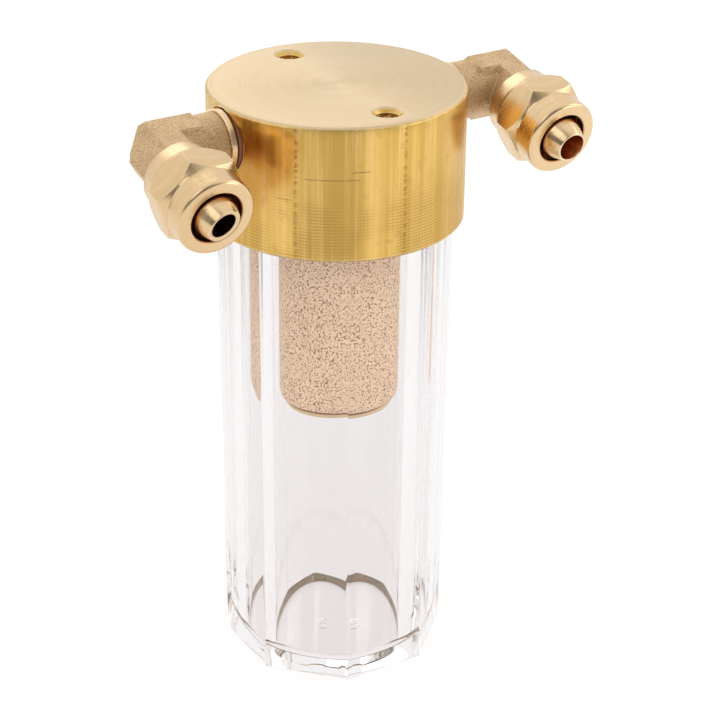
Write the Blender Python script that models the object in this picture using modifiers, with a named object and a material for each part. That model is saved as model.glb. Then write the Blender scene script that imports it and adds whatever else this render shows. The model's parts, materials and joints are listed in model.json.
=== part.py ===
"""Bowl filter with a turned brass head, a clear eight-sided bowl and a sintered bronze element.

Units are metres and +Z is up. The origin is the centre of the bowl's underside. The ports lie
along X, and both hose tails leave towards -Y. Run: blender --background --python part.py
"""
import math

import bmesh
import bpy
from mathutils import Euler, Matrix, Vector

MM = 0.001
GAP = 0.3 * MM                     # running gap left between neighbouring pieces

# Head: turned from 60 mm brass bar
HEAD_R = 30.0 * MM
HEAD_BOTTOM = 114.2 * MM
HEAD_TOP = 146.0 * MM
HEAD_CHAMFER = 0.75 * MM
WEB_BOTTOM = 128.0 * MM            # flat roof of the bowl socket
SOCKET_R = 24.0 * MM               # M48 female thread
PORT_Z = 137.7 * MM
PORT_HOLE_R = 5.1 * MM
PORT_HOLE_END = 20.4 * MM          # distance of the port's bottom from the head's axis
SPOT_FACE_R = 7.7 * MM
SPOT_FACE_X = 28.6 * MM
PASSAGE_R = 3.5 * MM
STUD_HOLE_R = 6.3 * MM
MOUNT_HOLE_R = 2.6 * MM            # M6 tapping size
MOUNT_SINK_R = 3.75 * MM
MOUNT_HOLE_DEPTH = 10.0 * MM
MOUNT_PITCH_R = 22.45 * MM         # the two M6 holes are 44.9 mm apart
MOUNT_LINE = math.radians(-92.2)   # direction of the first M6 hole from the axis

# Bowl: clear plastic, eight flats outside, round inside
BOWL_SIDES = 8
BOWL_FOOT_R = 27.35 * MM           # over the corners, at the bottom
BOWL_SHOULDER_R = 28.1 * MM        # over the corners, under the head
BOWL_CLOCK = math.radians(19.8)    # first corner from +X with the bowl tight
NECK_R = 23.7 * MM
NECK_TOP = 125.0 * MM
CAVITY_TOP_R = 20.3 * MM
CAVITY_FOOT_R = 19.6 * MM
CAVITY_CORNER = 3.5 * MM
FLOOR_T = 2.0 * MM
ORING_R = 21.8 * MM
ORING_T = 1.2 * MM                 # radius of the ring's own section

# Element: sintered bronze tube clamped under the head by a hollow stud
ELEMENT_R = 17.0 * MM
ELEMENT_BORE_R = 13.5 * MM
ELEMENT_BOTTOM = 69.2 * MM
ELEMENT_TOP = 125.8 * MM
ELEMENT_CORNER = 3.0 * MM
STUD_BOTTOM = 64.2 * MM
STUD_STEP = 98.0 * MM
STUD_TOP = 133.4 * MM
STUD_NUT_H = 3.2 * MM

# Elbows: forged brass, G1/8 into the head, push-on tail for 12 x 9 mm hose
ELBOW_X = 45.8 * MM                # hose axis to head axis
ELBOW_DROOP = math.radians(13.2)   # the hose ends point this much below level
BEND_FLAT = 2.9 * MM               # half the width of the forging's top and bottom flats
BEND_HALF_H = 7.2 * MM
BEND_HALF_W = 7.7 * MM             # half the width at the parting line
BEND_CORNER_CUT = 7.8 * MM         # the outer corner is cut off square to its diagonal
PORT_ARM = 8.6 * MM
HOSE_ARM = 8.0 * MM
BOSS_R = 6.9 * MM
RING_R = 7.4 * MM
TAIL_END = 30.4 * MM
ELBOW_BORE_R = 3.1 * MM

# Union nuts: M16 x 1, 19 mm across flats
NUT_FLATS = 19.0 * MM
NUT_BACK = 8.8 * MM
NUT_SHOULDER = 21.2 * MM
NUT_FRONT = 26.5 * MM
NUT_COLLAR_R = 9.2 * MM
NUT_MOUTH_R = 6.15 * MM
NUT_CLOCKS = {"left": math.radians(49), "right": math.radians(59)}   # a corner, up from X


# ---------------------------------------------------------------- scene and helpers

for item in list(bpy.data.objects):
    bpy.data.objects.remove(item, do_unlink=True)

parts = bpy.data.collections.new("bowl_filter")
cutters = bpy.data.collections.new("bowl_filter_cutters")
bpy.context.scene.collection.children.link(parts)
bpy.context.scene.collection.children.link(cutters)


def material(name, colour, roughness, metallic=0.0, transmission=0.0):
    mat = bpy.data.materials.new(name)
    mat.use_nodes = True
    shader = mat.node_tree.nodes["Principled BSDF"]
    shader.inputs["Base Color"].default_value = (*colour, 1.0)
    shader.inputs["Roughness"].default_value = roughness
    shader.inputs["Metallic"].default_value = metallic
    shader.inputs["Transmission Weight"].default_value = transmission
    return mat


def from_bmesh(bm, name):
    bmesh.ops.remove_doubles(bm, verts=bm.verts, dist=1e-6)
    bmesh.ops.delete(bm, geom=[e for e in bm.edges if not e.link_faces], context="EDGES")
    bmesh.ops.recalc_face_normals(bm, faces=bm.faces)
    mesh = bpy.data.meshes.new(name)
    bm.to_mesh(mesh)
    bm.free()
    obj = bpy.data.objects.new(name, mesh)
    cutters.objects.link(obj)
    obj.hide_render = True
    obj.display_type = "WIRE"
    return obj


def turned(name, profile, segments=48, axis="Z"):
    """A closed turned solid. The profile lists (radius, height) round its section."""
    bm = bmesh.new()
    verts = [bm.verts.new((r, 0.0, h)) for r, h in profile]
    edges = [bm.edges.new((a, b)) for a, b in zip(verts, verts[1:] + verts[:1])]
    bmesh.ops.spin(bm, geom=verts + edges, cent=(0, 0, 0), axis=(0, 0, 1),
                   angle=2 * math.pi, steps=segments, use_merge=True)
    bmesh.ops.dissolve_degenerate(bm, dist=1e-7, edges=bm.edges)
    turn = {"Z": Matrix.Identity(4),
            "X": Matrix.Rotation(math.radians(90), 4, "Y"),      # height runs along +X
            "-Y": Matrix.Rotation(math.radians(90), 4, "X")}[axis]    # height runs along -Y
    bmesh.ops.transform(bm, matrix=turn, verts=bm.verts)
    return from_bmesh(bm, name)


def rod(name, radius, low, high, segments=32, axis="Z"):
    return turned(name, [(0, low), (radius, low), (radius, high), (0, high)], segments, axis)


def prism(name, sides, r_low, r_high, low, high, clock=0.0, axis="Z"):
    """A straight or tapered bar with flat sides; its radii are over the corners."""
    bm = bmesh.new()
    bmesh.ops.create_cone(bm, cap_ends=True, segments=sides, radius1=r_low, radius2=r_high,
                          depth=high - low)
    shift = Matrix.Translation((0, 0, (low + high) / 2))
    turn = {"Z": Matrix.Identity(4),
            "X": Matrix.Rotation(math.radians(90), 4, "Y"),
            "-Y": Matrix.Rotation(math.radians(90), 4, "X")}[axis]
    clocking = Matrix.Rotation(clock - math.pi / 2, 4, "Z")
    bmesh.ops.transform(bm, matrix=turn @ shift @ clocking, verts=bm.verts)
    return from_bmesh(bm, name)


def mitred_bend(name, section, port_end, hose_end, corner_cut):
    """A flat-sided bar bent square from +X to -Y, with square ends and a cut outer corner."""
    bm = bmesh.new()
    rings = []
    reach = 3 * max(out for out, up in section)
    for place in ("port", "knee", "hose"):
        ring = []
        for out, up in section:
            x, y = {"port": (reach, out), "knee": (-out, out), "hose": (-out, -reach)}[place]
            ring.append(bm.verts.new((x, y, up)))
        rings.append(ring)
    for near, far in zip(rings, rings[1:]):
        for k in range(len(section)):
            bm.faces.new((near[k], near[k - 1], far[k - 1], far[k]))
    bm.faces.new(rings[0])
    bm.faces.new(rings[2])
    for point, normal in (((port_end, 0, 0), (1, 0, 0)), ((0, -hose_end, 0), (0, -1, 0)),
                          ((-corner_cut, 0, 0), (-1, 1, 0))):
        cut = bmesh.ops.bisect_plane(bm, geom=bm.verts[:] + bm.edges[:] + bm.faces[:], dist=1e-8,
                                     plane_co=point, plane_no=normal, clear_outer=True)
        rim = [e for e in cut["geom_cut"] if isinstance(e, bmesh.types.BMEdge)]
        bmesh.ops.edgeloop_fill(bm, edges=rim)
    return from_bmesh(bm, name)


def moved(obj, offset=(0, 0, 0), turn=(0, 0, 0)):
    obj.data.transform(Matrix.Translation(offset) @ Euler(turn).to_matrix().to_4x4())
    return obj


def combined(base, adds=(), cuts=(), edge=None):
    """Join and cut solids exactly, soften the edges, and return the finished mesh."""
    for operation, tools in (("UNION", adds), ("DIFFERENCE", cuts)):
        for tool in tools:
            step = base.modifiers.new(operation.lower(), "BOOLEAN")
            step.operation = operation
            step.solver = "EXACT"
            step.object = tool
    if edge:
        soften = base.modifiers.new("edges", "BEVEL")
        soften.width, soften.segments, soften.limit_method = edge, 1, "ANGLE"
        soften.angle_limit = math.radians(28)
    bpy.context.view_layer.update()
    depsgraph = bpy.context.evaluated_depsgraph_get()
    mesh = bpy.data.meshes.new_from_object(base.evaluated_get(depsgraph))
    base.modifiers.clear()
    bm = bmesh.new()
    bm.from_mesh(mesh)
    bmesh.ops.remove_doubles(bm, verts=bm.verts, dist=2e-6)
    bmesh.ops.dissolve_degenerate(bm, dist=1e-6, edges=bm.edges)
    bm.to_mesh(mesh)
    bm.free()
    return mesh


def node(name, mesh, mat, location=(0, 0, 0), rotation=None, parent=None, smooth=True):
    obj = bpy.data.objects.new(name, mesh.copy())
    obj.data.name = name
    obj.data.materials.clear()
    obj.data.materials.append(mat)
    for face in obj.data.polygons:
        face.use_smooth = smooth
    if smooth:
        obj.data.set_sharp_from_angle(angle=math.radians(30))
    parts.objects.link(obj)
    obj.location = location
    if rotation is not None:
        obj.rotation_euler = rotation
    obj.parent = parent
    return obj


# ---------------------------------------------------------------- head

def head_mesh():
    c = HEAD_CHAMFER
    body = turned("head_bar", [(0, HEAD_BOTTOM), (HEAD_R - 0.5 * MM, HEAD_BOTTOM),
                               (HEAD_R, HEAD_BOTTOM + 0.5 * MM), (HEAD_R, HEAD_TOP - c),
                               (HEAD_R - c, HEAD_TOP), (0, HEAD_TOP)], 96)
    cuts = [turned("head_socket", [(0, HEAD_BOTTOM - MM), (SOCKET_R + 1.6 * MM, HEAD_BOTTOM - MM),
                                   (SOCKET_R, HEAD_BOTTOM + 0.6 * MM),
                                   (SOCKET_R, WEB_BOTTOM), (0, WEB_BOTTOM)], 72),
            rod("head_stud_hole", STUD_HOLE_R, WEB_BOTTOM - MM, STUD_TOP + MM, 36),
            rod("head_outlet_down", 3.1 * MM, STUD_TOP - MM, PORT_Z + 0.7 * MM, 22)]
    for side in (-1, 1):
        end = -1.3 * MM if side > 0 else 17.2 * MM
        drill = [(0, end), (PASSAGE_R, end), (PASSAGE_R, PORT_HOLE_END - 1.6 * MM),
                 (PORT_HOLE_R, PORT_HOLE_END), (PORT_HOLE_R, SPOT_FACE_X),
                 (SPOT_FACE_R, SPOT_FACE_X), (SPOT_FACE_R, HEAD_R + 3 * MM), (0, HEAD_R + 3 * MM)]
        port = turned("head_port", drill, 36, "X")
        cuts.append(moved(port, (0, 0, PORT_Z), (0, 0, 0 if side > 0 else math.pi)))
    for offset, depth in ((-9.0, 7.3 * MM), (0.0, 8.6 * MM), (9.0, 6.9 * MM)):
        angle = math.radians(180 + offset)
        down = rod("head_inlet_down", 1.9 * MM, WEB_BOTTOM - MM, WEB_BOTTOM + depth, 20)
        cuts.append(moved(down, (19 * MM * math.cos(angle), 19 * MM * math.sin(angle), 0)))
    for half_turn in (0, math.pi):
        angle = MOUNT_LINE + half_turn
        low = HEAD_TOP - MOUNT_HOLE_DEPTH
        sink = MOUNT_SINK_R - MOUNT_HOLE_R
        hole = turned("head_mount_hole", [(0, low - 1.2 * MM), (MOUNT_HOLE_R, low),
                                          (MOUNT_HOLE_R, HEAD_TOP - sink),
                                          (MOUNT_SINK_R + MM, HEAD_TOP + MM), (0, HEAD_TOP + MM)],
                      28)
        cuts.append(moved(hole, (MOUNT_PITCH_R * math.cos(angle),
                                 MOUNT_PITCH_R * math.sin(angle), 0)))
    pip = turned("head_centre_pip", [(0, HEAD_TOP - 0.5 * MM), (1.1 * MM, HEAD_TOP + 0.6 * MM),
                                     (0, HEAD_TOP + 0.6 * MM)], 16)
    cuts.append(pip)
    return combined(body, cuts=cuts)


# ---------------------------------------------------------------- bowl and its ring

def bowl_mesh():
    shoulder = HEAD_BOTTOM - GAP
    body = prism("bowl_flats", BOWL_SIDES, BOWL_FOOT_R, BOWL_SHOULDER_R, 0.0, shoulder,
                 BOWL_CLOCK + math.pi / 2)
    neck = turned("bowl_neck", [(0, shoulder - 2 * MM), (NECK_R, shoulder - 2 * MM),
                                (NECK_R, NECK_TOP - 0.7 * MM), (NECK_R - 0.7 * MM, NECK_TOP),
                                (0, NECK_TOP)], 64)
    corner = [(CAVITY_FOOT_R - CAVITY_CORNER * (1 - math.sin(a)),
               FLOOR_T + CAVITY_CORNER * (1 - math.cos(a)))
              for a in [math.radians(15 * k) for k in range(7)]]
    cavity = turned("bowl_cavity", [(0, FLOOR_T)] + corner +
                    [(CAVITY_TOP_R, NECK_TOP + MM), (0, NECK_TOP + MM)], 64)
    edges = body.modifiers.new("moulded_edges", "BEVEL")
    edges.width, edges.segments, edges.limit_method = 0.45 * MM, 2, "ANGLE"
    edges.angle_limit = math.radians(30)
    return combined(body, adds=[neck], cuts=[cavity])


def oring_mesh():
    section = [(ORING_R + ORING_T * math.cos(a), ORING_T * math.sin(a))
               for a in [math.radians(36 * k) for k in range(10)]]
    return combined(turned("ring_section", section, 56))


# ---------------------------------------------------------------- element group

def element_mesh():
    c = ELEMENT_CORNER
    corner = [(ELEMENT_R - c * (1 - math.sin(a)), ELEMENT_BOTTOM + c * (1 - math.cos(a)))
              for a in [math.radians(22.5 * k) for k in range(5)]]
    top = [(ELEMENT_R, ELEMENT_TOP - 0.4 * MM), (ELEMENT_R - 0.4 * MM, ELEMENT_TOP),
           (ELEMENT_BORE_R, ELEMENT_TOP)]
    return combined(turned("element_section", [(ELEMENT_BORE_R, ELEMENT_BOTTOM)] + corner + top, 56))


def cap_mesh():
    top = ELEMENT_BOTTOM - GAP
    profile = [(4.3 * MM, top - MM), (14.7 * MM, top - MM), (15.0 * MM, top - 0.7 * MM),
               (15.0 * MM, top), (ELEMENT_BORE_R - GAP, top), (ELEMENT_BORE_R - GAP, top + 2.2 * MM),
               (ELEMENT_BORE_R - 0.7 * MM, top + 2.6 * MM), (4.3 * MM, top + 2.6 * MM)]
    return combined(turned("cap_section", profile, 48))


def gasket_mesh():
    low, high = ELEMENT_TOP + GAP, WEB_BOTTOM - GAP
    return combined(turned("gasket_section", [(12.6 * MM, low), (16.6 * MM, low), (16.6 * MM, high),
                                              (12.6 * MM, high)], 48))


def stud_mesh():
    thin, thick = 4.0 * MM, 6.0 * MM
    body = turned("stud_bar", [(0, STUD_BOTTOM), (thin - 0.6 * MM, STUD_BOTTOM),
                               (thin, STUD_BOTTOM + 0.6 * MM), (thin, STUD_STEP),
                               (thick, STUD_STEP + 1.2 * MM), (thick, STUD_TOP - 0.8 * MM),
                               (thick - 0.8 * MM, STUD_TOP), (0, STUD_TOP)], 36)
    bore = turned("stud_bore", [(0, STUD_STEP - 2 * MM), (3.4 * MM, STUD_STEP + 2 * MM),
                                (3.4 * MM, STUD_TOP + MM), (0, STUD_TOP + MM)], 28)
    cross = [moved(rod("stud_cross_hole", 2.2 * MM, -9 * MM, 9 * MM, 20, "X"),
                   (0, 0, z), (0, 0, turn))
             for z, turn in ((106 * MM, 0.0), (113 * MM, math.pi / 2))]
    return combined(body, cuts=[bore] + cross)


def hexagon_nut(name, flats, low, high, cuts):
    """A plain nut with both ends turned to a 30 degree chamfer."""
    over_corners = flats / math.cos(math.radians(30)) / 2
    lost = (over_corners - flats / 2 + 0.1 * MM) * math.tan(math.radians(30))
    nut = prism(name, 6, over_corners, over_corners, low, high)
    outline = turned(name + "_outline", [(0, low), (flats / 2 - 0.1 * MM, low),
                                         (over_corners, low + lost), (over_corners, high - lost),
                                         (flats / 2 - 0.1 * MM, high), (0, high)], 48)
    keep = nut.modifiers.new("chamfer", "BOOLEAN")
    keep.operation, keep.solver, keep.object = "INTERSECT", "EXACT", outline
    return combined(nut, cuts=cuts)


# ---------------------------------------------------------------- hose fittings
# Drawn with the port arm along +X and the hose arm along -Y; the arms cross at the origin.

def elbow_mesh():
    section = [(BEND_FLAT, BEND_HALF_H), (BEND_HALF_W, 0), (BEND_FLAT, -BEND_HALF_H),
               (-BEND_FLAT, -BEND_HALF_H), (-BEND_HALF_W, 0), (-BEND_FLAT, BEND_HALF_H)]
    ring_end = ELBOW_X - HEAD_R
    body = mitred_bend("elbow_bend", section, PORT_ARM, HOSE_ARM, BEND_CORNER_CUT)
    boss = turned("boss", [(0, 0.7 * MM), (BOSS_R, 0.7 * MM), (BOSS_R, ring_end - 1.6 * MM),
                           (RING_R, ring_end - 1.5 * MM), (RING_R, ring_end - 0.25 * MM),
                           (RING_R - 0.25 * MM, ring_end), (4.8 * MM, ring_end),
                           (4.8 * MM, ring_end + 8.6 * MM), (4.2 * MM, ring_end + 9.2 * MM),
                           (0, ring_end + 9.2 * MM)], 40, "X")
    tail = turned("tail", [(0, 5 * MM), (6.6 * MM, 5 * MM), (7.7 * MM, 8.6 * MM), (7.7 * MM, 15.4 * MM),
                           (7.1 * MM, 16 * MM), (4.6 * MM, 16 * MM), (4.6 * MM, 24.0 * MM),
                           (5.2 * MM, 24.4 * MM), (5.2 * MM, 26.1 * MM),
                           (3.7 * MM, TAIL_END - 0.2 * MM), (3.5 * MM, TAIL_END), (0, TAIL_END)],
                  40, "-Y")
    knee = turned("bore_knee", [(ELBOW_BORE_R * math.sin(a), -ELBOW_BORE_R * math.cos(a))
                                for a in [math.radians(22.5 * k) for k in range(9)]], 28)
    bores = [rod("port_bore", ELBOW_BORE_R, 0, ring_end + 12 * MM, 28, "X"),
             rod("hose_bore", ELBOW_BORE_R, 0, TAIL_END + MM, 28, "-Y"), knee]
    return combined(body, adds=[boss, tail], cuts=bores)


def union_nut_mesh():
    over_corners = NUT_FLATS / math.cos(math.radians(30)) / 2
    hexagon = prism("nut_hexagon", 6, over_corners, over_corners, NUT_BACK, NUT_SHOULDER,
                    axis="-Y")
    chamfer = turned("nut_outline", [(0, NUT_BACK), (8.4 * MM, NUT_BACK), (8.7 * MM, 12.0 * MM),
                                     (9.4 * MM, 13.2 * MM), (over_corners, 15.4 * MM),
                                     (over_corners, 19.0 * MM), (9.5 * MM, 20.5 * MM),
                                     (9.1 * MM, NUT_SHOULDER), (0, NUT_SHOULDER)], 48, "-Y")
    keep = hexagon.modifiers.new("chamfer", "BOOLEAN")
    keep.operation, keep.solver, keep.object = "INTERSECT", "EXACT", chamfer
    low = NUT_SHOULDER - 5 * MM
    collar = turned("nut_collar", [(0, low), (8.8 * MM, low), (NUT_COLLAR_R, NUT_SHOULDER - 0.4 * MM),
                                   (NUT_COLLAR_R, NUT_FRONT - 0.9 * MM),
                                   (NUT_COLLAR_R - 0.25 * MM, NUT_FRONT - 0.25 * MM),
                                   (NUT_COLLAR_R - 0.9 * MM, NUT_FRONT), (0, NUT_FRONT)], 48, "-Y")
    inside = turned("nut_bore", [(0, NUT_BACK - MM), (8.0 * MM, NUT_BACK - MM), (8.0 * MM, 17.4 * MM),
                                 (NUT_MOUTH_R, 20.4 * MM), (NUT_MOUTH_R, NUT_FRONT + MM),
                                 (0, NUT_FRONT + MM)], 40, "-Y")
    return combined(hexagon, adds=[collar], cuts=[inside])


def seal_mesh():
    return combined(turned("seal_section", [(5.1 * MM, 0), (7.3 * MM, 0), (7.3 * MM, 0.8 * MM),
                                            (5.1 * MM, 0.8 * MM)], 40, "X"))


# ---------------------------------------------------------------- materials

bar_brass = material("bar_brass", (0.70, 0.49, 0.20), 0.28, 1.0)
forged_brass = material("forged_brass", (0.74, 0.55, 0.34), 0.5, 1.0)
nut_brass = material("turned_brass", (0.78, 0.60, 0.38), 0.25, 1.0)
stud_brass = material("stud_brass", (0.72, 0.52, 0.25), 0.3, 1.0)
bronze = material("sintered_bronze", (0.66, 0.44, 0.30), 0.7, 0.6)
clear = material("clear_plastic", (0.93, 0.92, 0.93), 0.05, 0.0, 1.0)
rubber = material("black_rubber", (0.02, 0.02, 0.02), 0.6)
fibre = material("red_fibre", (0.30, 0.11, 0.06), 0.7)

# ---------------------------------------------------------------- assembly

node("head", head_mesh(), bar_brass)
node("bowl", bowl_mesh(), clear)
node("bowl_oring", oring_mesh(), rubber, (0, 0, (NECK_TOP + WEB_BOTTOM) / 2))
node("element", element_mesh(), bronze)
node("element_cap", cap_mesh(), nut_brass)
node("element_gasket", gasket_mesh(), fibre)
node("element_stud", stud_mesh(), stud_brass)
nut_top = ELEMENT_BOTTOM - GAP - MM - GAP
bore = rod("stud_nut_bore", 4.3 * MM, nut_top - 5 * MM, nut_top + MM, 28)
node("stud_nut", hexagon_nut("stud_nut_hexagon", 13 * MM, nut_top - STUD_NUT_H, nut_top, [bore]),
     nut_brass)

elbow, union_nut, seal = elbow_mesh(), union_nut_mesh(), seal_mesh()
for side, name in ((-1, "left"), (1, "right")):
    knee = bpy.data.objects.new("fitting_" + name, None)
    knee.location = (side * ELBOW_X, 0, PORT_Z)
    flip = Matrix.Rotation(math.pi if side > 0 else 0.0, 3, "Y")
    knee.rotation_euler = (Matrix.Rotation(ELBOW_DROOP, 3, "X") @ flip).to_euler()
    cutters.objects.link(knee)
    node("elbow_" + name, elbow, forged_brass, parent=knee)
    node("union_nut_" + name, union_nut, nut_brass, rotation=(0, -NUT_CLOCKS[name], 0), parent=knee)
    node("port_seal_" + name, seal, fibre, (ELBOW_X - SPOT_FACE_X - GAP - 0.8 * MM, 0, 0),
         parent=knee)

bpy.context.view_layer.update()
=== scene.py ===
import json
import math

import bmesh
import bpy
from mathutils import Matrix, Vector

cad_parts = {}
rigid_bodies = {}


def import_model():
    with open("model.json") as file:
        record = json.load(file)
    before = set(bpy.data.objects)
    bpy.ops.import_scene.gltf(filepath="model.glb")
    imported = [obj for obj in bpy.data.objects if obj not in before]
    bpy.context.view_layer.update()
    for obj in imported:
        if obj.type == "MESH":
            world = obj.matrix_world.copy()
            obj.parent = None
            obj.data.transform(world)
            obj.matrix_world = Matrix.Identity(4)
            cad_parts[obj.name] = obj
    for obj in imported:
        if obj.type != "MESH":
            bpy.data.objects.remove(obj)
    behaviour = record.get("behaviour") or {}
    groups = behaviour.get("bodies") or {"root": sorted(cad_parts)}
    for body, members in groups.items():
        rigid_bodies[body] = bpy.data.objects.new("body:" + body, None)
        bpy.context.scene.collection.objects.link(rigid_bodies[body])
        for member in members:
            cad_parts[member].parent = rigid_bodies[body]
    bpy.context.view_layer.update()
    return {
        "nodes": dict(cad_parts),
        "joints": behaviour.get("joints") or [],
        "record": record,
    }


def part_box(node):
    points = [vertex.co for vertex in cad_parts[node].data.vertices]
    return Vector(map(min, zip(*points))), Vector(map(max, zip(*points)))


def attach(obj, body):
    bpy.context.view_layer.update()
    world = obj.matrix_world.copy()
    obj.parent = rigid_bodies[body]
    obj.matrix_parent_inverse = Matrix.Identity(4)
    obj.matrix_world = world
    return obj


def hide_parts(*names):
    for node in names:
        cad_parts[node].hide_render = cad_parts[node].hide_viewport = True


for leftover in list(bpy.data.objects):
    bpy.data.objects.remove(leftover)

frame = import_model()
record = frame["record"]
joints = {j["name"]: j for j in frame["joints"]}
mm = 0.001
print("frame loaded:", len(frame["nodes"]), "nodes")


# small tools

def addNode(tree, kind, values=None, **settings):
    item = tree.nodes.new(kind)
    for key, value in settings.items():
        setattr(item, key, value)
    for key, value in (values or {}).items():
        if isinstance(value, bpy.types.NodeSocket):
            tree.links.new(value, item.inputs[key])
        else:
            item.inputs[key].default_value = value
    return item


def maths(tree, operation, a, b=None, c=None, clamp=False):
    given = {i: v for i, v in enumerate((a, b, c)) if v is not None}
    return addNode(tree, "ShaderNodeMath", given, operation=operation, use_clamp=clamp).outputs[0]


def times(tree, a, b):
    return maths(tree, "MULTIPLY", a, b)


def distanceFromAxis(tree, x, y):
    return maths(tree, "SQRT", maths(tree, "ADD", times(tree, x, x), times(tree, y, y)))


def noise(tree, vector, scale, detail=2.0):
    return addNode(tree, "ShaderNodeTexNoise", {"Vector": vector, "Scale": scale,
                                                "Detail": detail}).outputs[0]


def noiseAlong(tree, value, detail=2.0):
    return addNode(tree, "ShaderNodeTexNoise", {"W": value, "Scale": 1.0, "Detail": detail},
                   noise_dimensions="1D").outputs[0]


def smoothStep(tree, value, low, high, toLow=0.0, toHigh=1.0):
    return addNode(tree, "ShaderNodeMapRange",
                   {"Value": value, "From Min": low, "From Max": high, "To Min": toLow, "To Max": toHigh},
                   interpolation_type="SMOOTHSTEP").outputs["Result"]


def blendColours(tree, share, first, second, mode="MIX"):
    mix = tree.nodes.new("ShaderNodeMix")
    mix.data_type, mix.blend_type, mix.clamp_factor = "RGBA", mode, True
    for socket, value in ((mix.inputs[0], share), (mix.inputs[6], first), (mix.inputs[7], second)):
        if isinstance(value, bpy.types.NodeSocket):
            tree.links.new(value, socket)
        elif isinstance(value, tuple):
            socket.default_value = (*value[:3], 1.0)
        else:
            socket.default_value = value
    return mix.outputs[2]


def cleaned(bm, name):
    bmesh.ops.remove_doubles(bm, verts=bm.verts, dist=1e-6)
    bmesh.ops.delete(bm, geom=[e for e in bm.edges if not e.link_faces], context="EDGES")
    bmesh.ops.recalc_face_normals(bm, faces=bm.faces)
    mesh = bpy.data.meshes.new(name)
    bm.to_mesh(mesh)
    bm.free()
    obj = bpy.data.objects.new(name, mesh)
    bpy.context.scene.collection.objects.link(obj)
    return obj


def turned(name, profile, steps=96, place=None):
    # the profile runs round the section as (radius, height); place turns height onto another axis
    bm = bmesh.new()
    ring = [bm.verts.new((r, 0.0, h)) for r, h in profile]
    edges = [bm.edges.new((a, b)) for a, b in zip(ring, ring[1:] + ring[:1])]
    bmesh.ops.spin(bm, geom=ring + edges, cent=(0, 0, 0), axis=(0, 0, 1), angle=2 * math.pi,
                   steps=steps, use_merge=True)
    bmesh.ops.dissolve_degenerate(bm, dist=1e-7, edges=bm.edges)
    if place is not None:
        bmesh.ops.transform(bm, matrix=place, verts=bm.verts)
    return cleaned(bm, name)


def flatSided(name, sides, lowRadius, highRadius, low, high, clock=0.0, place=None):
    bm = bmesh.new()
    bmesh.ops.create_cone(bm, cap_ends=True, segments=sides, radius1=lowRadius, radius2=highRadius,
                          depth=high - low)
    first = Matrix.Translation((0, 0, (low + high) / 2)) @ Matrix.Rotation(clock - math.pi / 2, 4, "Z")
    bmesh.ops.transform(bm, matrix=(place or Matrix()) @ first, verts=bm.verts)
    return cleaned(bm, name)


def evenly(points, longest):
    # the same outline with extra points, so that no straight run is longer than asked
    out = []
    for (r0, h0), (r1, h1) in zip(points, points[1:]):
        n = max(1, math.ceil(math.hypot(r1 - r0, h1 - h0) / longest))
        out += [(r0 + (r1 - r0) * k / n, h0 + (h1 - h0) * k / n) for k in range(n)]
    return out + [points[-1]]


def arc(centreR, centreH, radius, start, end, steps):
    return [(centreR + radius * math.cos(math.radians(start + (end - start) * k / steps)),
             centreH + radius * math.sin(math.radians(start + (end - start) * k / steps)))
            for k in range(steps + 1)]


def cutAndJoin(obj, adds=(), cuts=(), keep=None):
    for kind, tools in (("UNION", adds), ("INTERSECT", [keep] if keep else []), ("DIFFERENCE", cuts)):
        for tool in tools:
            step = obj.modifiers.new(kind, "BOOLEAN")
            step.operation, step.solver, step.object = kind, "EXACT", tool
    settle(obj)
    for tool in [*adds, *cuts, *([keep] if keep else [])]:
        bpy.data.objects.remove(tool)
    return obj


def settle(obj):
    # turns the modifiers' result into a plain mesh
    bpy.context.view_layer.update()
    mesh = bpy.data.meshes.new_from_object(obj.evaluated_get(bpy.context.evaluated_depsgraph_get()))
    obj.modifiers.clear()
    old, obj.data = obj.data, mesh
    bpy.data.meshes.remove(old)
    return obj


def softEdges(obj, width, rings=2, angle=28):
    step = obj.modifiers.new("softEdges", "BEVEL")
    step.width, step.segments, step.limit_method = width, rings, "ANGLE"
    step.angle_limit, step.use_clamp_overlap, step.harden_normals = math.radians(angle), True, False
    return settle(obj)


def throughTree(obj, tree, values):
    step = obj.modifiers.new(tree.name, "NODES")
    step.node_group = tree
    for item in tree.interface.items_tree:
        if item.item_type == "SOCKET" and item.in_out == "INPUT" and item.name in values:
            step[item.identifier] = values[item.name]
    return settle(obj)


def piece(obj, name, body, finish, nodes=(), place=None, smooth=True, sharp=32):
    obj.name = obj.data.name = name
    if place is not None:
        obj.data.transform(place)
    obj.data.materials.clear()
    obj.data.materials.append(finish)
    for face in obj.data.polygons:
        face.use_smooth = smooth
    if smooth:
        obj.data.set_sharp_from_angle(angle=math.radians(sharp))
    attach(obj, body)
    if nodes:
        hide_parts(*nodes)
    return obj


# rules that shape repeating detail, as Geometry Nodes

def newTree(name, inputs):
    tree = bpy.data.node_groups.new(name, "GeometryNodeTree")
    tree.interface.new_socket("Geometry", in_out="INPUT", socket_type="NodeSocketGeometry")
    tree.interface.new_socket("Geometry", in_out="OUTPUT", socket_type="NodeSocketGeometry")
    for label, kind, value in inputs:
        socket = tree.interface.new_socket(label, in_out="INPUT", socket_type=kind)
        if value is not None:
            socket.default_value = value
    return tree, tree.nodes.new("NodeGroupInput"), tree.nodes.new("NodeGroupOutput")


def closeTree(tree, source, entry, exit):
    realised = addNode(tree, "GeometryNodeRealizeInstances", {"Geometry": source})
    coloured = addNode(tree, "GeometryNodeSetMaterial",
                       {"Geometry": realised.outputs[0], "Material": entry.outputs["Material"]})
    tree.links.new(coloured.outputs[0], exit.inputs["Geometry"])
    return tree


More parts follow.
